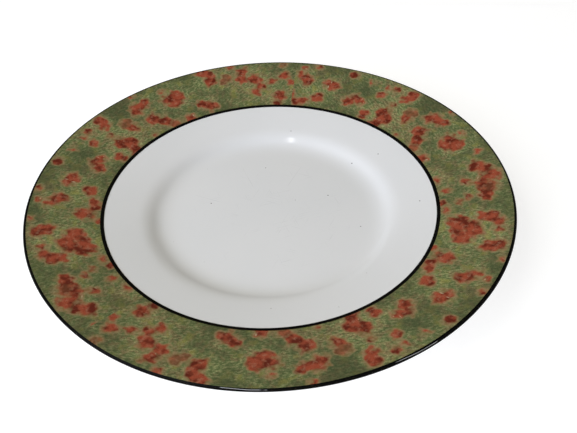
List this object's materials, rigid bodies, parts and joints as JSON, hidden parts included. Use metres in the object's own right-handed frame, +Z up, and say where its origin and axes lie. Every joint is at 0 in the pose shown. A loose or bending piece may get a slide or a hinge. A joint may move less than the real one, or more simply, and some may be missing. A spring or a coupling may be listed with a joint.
{
  "type": "dinner plate",
  "caption": "Wide-rimmed round china dinner plate with a sunken well, a foot ring, a mottled printed rim band and black banded edges.",
  "frame": {"origin": "centre of the foot ring's standing face, on the table", "axes": "+Z up along the plate's axis of revolution; +X and +Y lie in the table plane"},
  "size_m": [0.27, 0.27, 0.024],
  "materials": {
    "biscuit": "bare fired clay, matt",
    "white_glaze": "white, glossy",
    "rim_print": "mottled green print with rust-red dabs, glossy",
    "black_enamel": "black, glossy",
    "mark_print": "green print under glaze"
  },
  "bodies": {
    "root": {"biscuit_body": "biscuit", "glaze_face": "white_glaze", "glaze_base": "white_glaze", "rim_print_short": "rim_print", "rim_print_far": "rim_print", "rim_print_near": "rim_print", "inner_line": "black_enamel", "edge_line": "black_enamel", "base_mark": "mark_print"}
  },
  "joints": []
}
